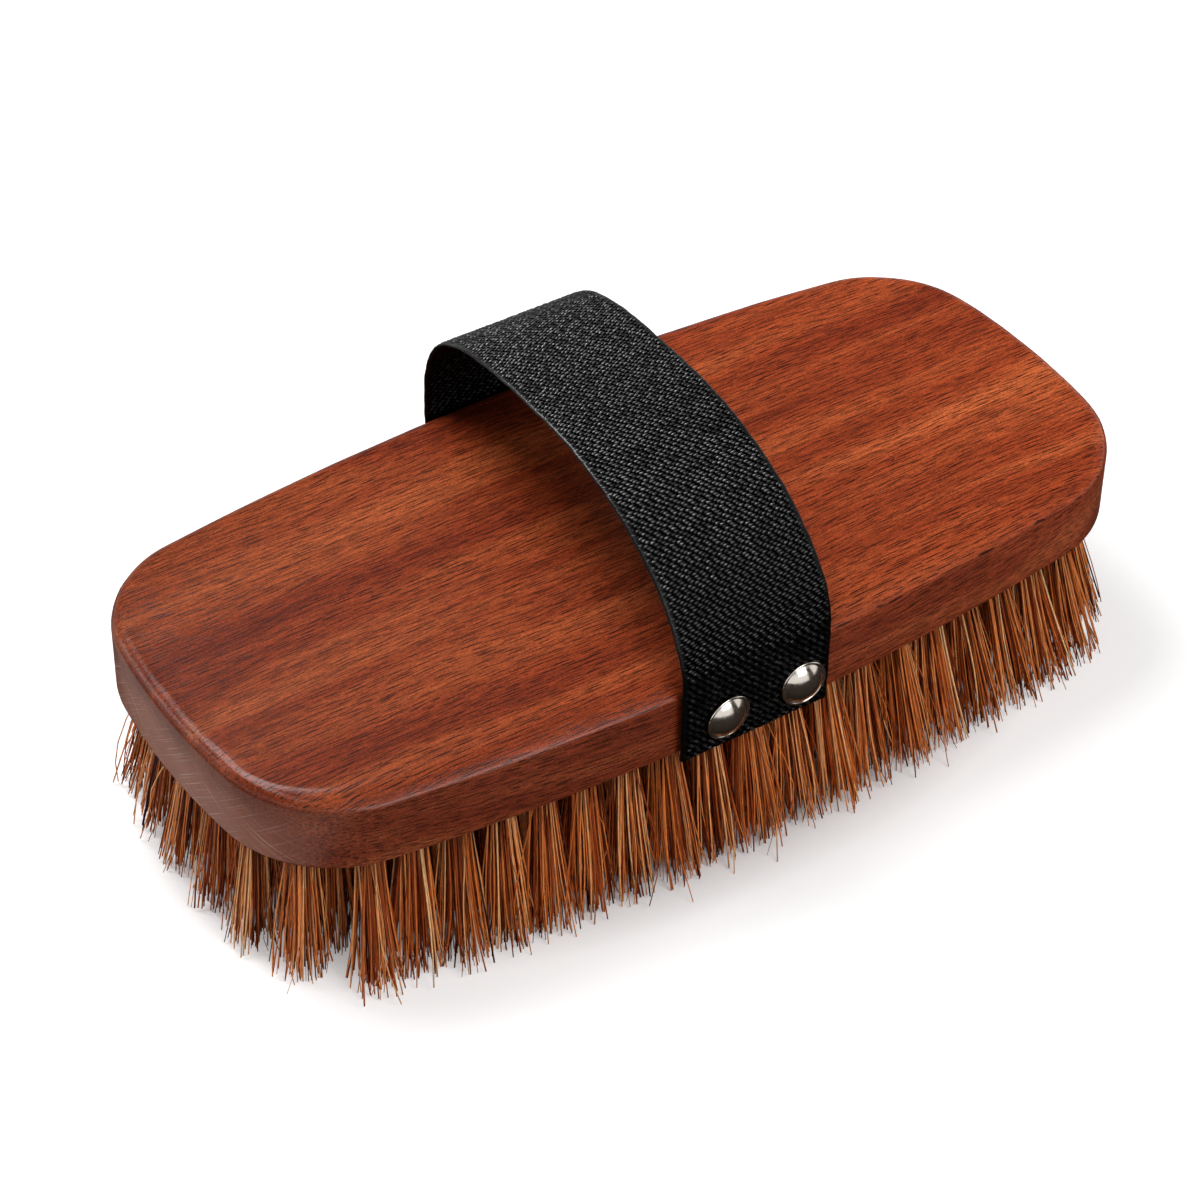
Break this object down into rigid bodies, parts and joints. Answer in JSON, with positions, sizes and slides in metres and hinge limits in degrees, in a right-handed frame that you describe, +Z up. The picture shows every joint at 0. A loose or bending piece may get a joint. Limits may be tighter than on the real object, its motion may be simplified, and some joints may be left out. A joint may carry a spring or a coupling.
{
  "type": "grooming brush",
  "caption": "Oval-ended wooden hand brush with stiff coconut fibre tufts below and an arched elastic hand strap nailed to its long sides.",
  "frame": {"origin": "on the surface that the bristle tips stand on, under the centre of the block", "axes": "+X along the block, +Y across it towards the side where the strap's arch is fuller, +Z up through the strap"},
  "size_m": [0.205, 0.1054, 0.0791],
  "materials": {
    "block": "reddish brown stained beech, satin varnish",
    "strap": "black woven elastic webbing",
    "nails": "polished nickel plate",
    "tufts": "golden to dark brown coir fibre, dull"
  },
  "bodies": {
    "root": {"block": "block", "strap": "strap", "nail_front_left": "nails", "nail_front_right": "nails", "nail_back_left": "nails", "nail_back_right": "nails", "tuft_row_01": "tufts", "tuft_row_02": "tufts", "tuft_row_03": "tufts", "tuft_row_04": "tufts", "tuft_row_05": "tufts", "tuft_row_06": "tufts", "tuft_row_07": "tufts", "tuft_row_08": "tufts", "tuft_row_09": "tufts", "tuft_row_10": "tufts", "tuft_row_11": "tufts", "tuft_row_12": "tufts", "tuft_row_13": "tufts", "tuft_row_14": "tufts", "tuft_row_15": "tufts", "tuft_row_16": "tufts", "tuft_row_17": "tufts", "tuft_row_18": "tufts", "tuft_row_19": "tufts", "tuft_row_20": "tufts", "tuft_row_21": "tufts"}
  },
  "joints": []
}
